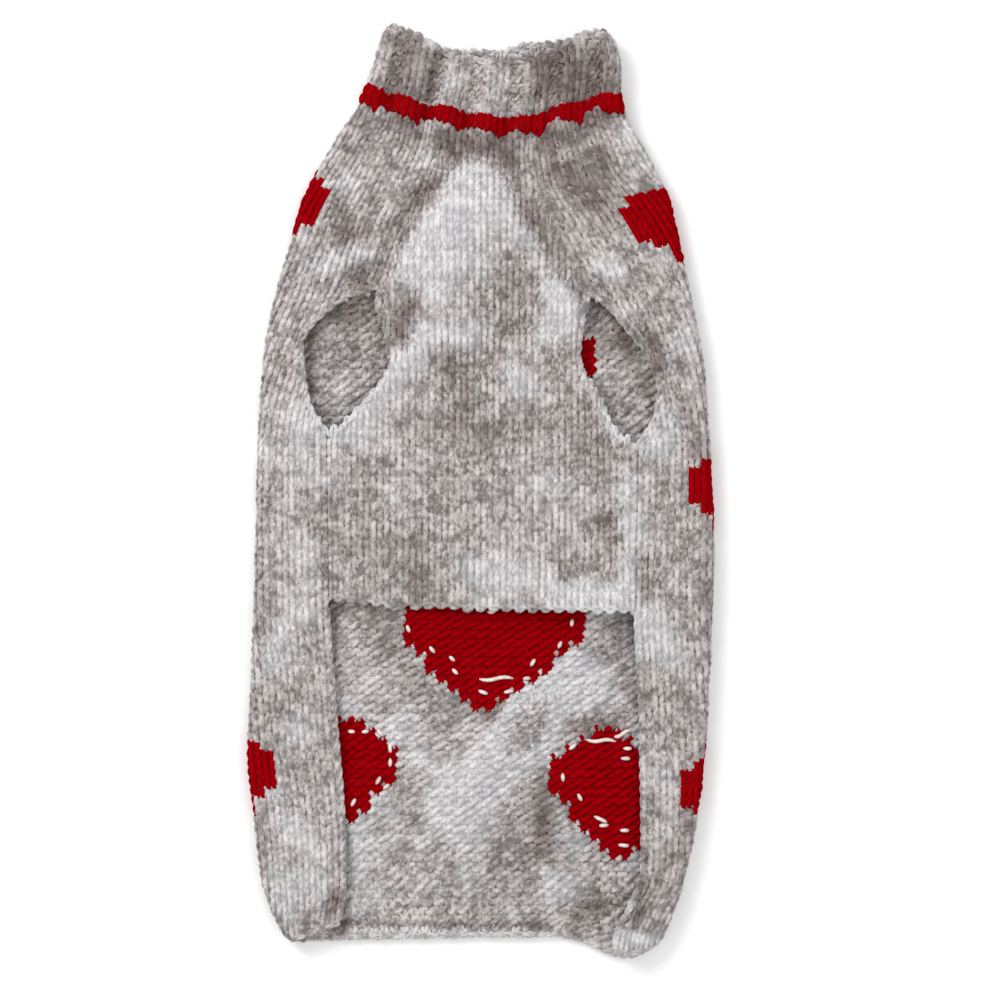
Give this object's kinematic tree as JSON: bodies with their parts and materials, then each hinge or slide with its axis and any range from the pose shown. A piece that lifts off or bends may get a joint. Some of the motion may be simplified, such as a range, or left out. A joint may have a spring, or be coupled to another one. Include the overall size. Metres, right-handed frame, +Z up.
{
  "type": "dog sweater",
  "caption": "Pullover for a dog in chunky marled knit with a ribbed neck, leg holes and heart motifs, laid flat belly side up.",
  "frame": {"origin": "on the surface the garment lies on, under the middle of its bounding box", "axes": "+Y towards the neck, +Z up out of the belly side, +X to the right seen from above with the neck away from the viewer"},
  "size_m": [0.234, 0.4634, 0.0189],
  "materials": {
    "grey_marl_wool": "hand-knitted chunky wool, light grey marl with darker flecks",
    "red_wool": "hand-knitted chunky wool, deep red: the hearts and the stripe at the collar"
  },
  "bodies": {
    "root": {"back_panel": "grey_marl_wool", "belly_panel": "grey_marl_wool", "collar": "grey_marl_wool"}
  },
  "joints": []
}
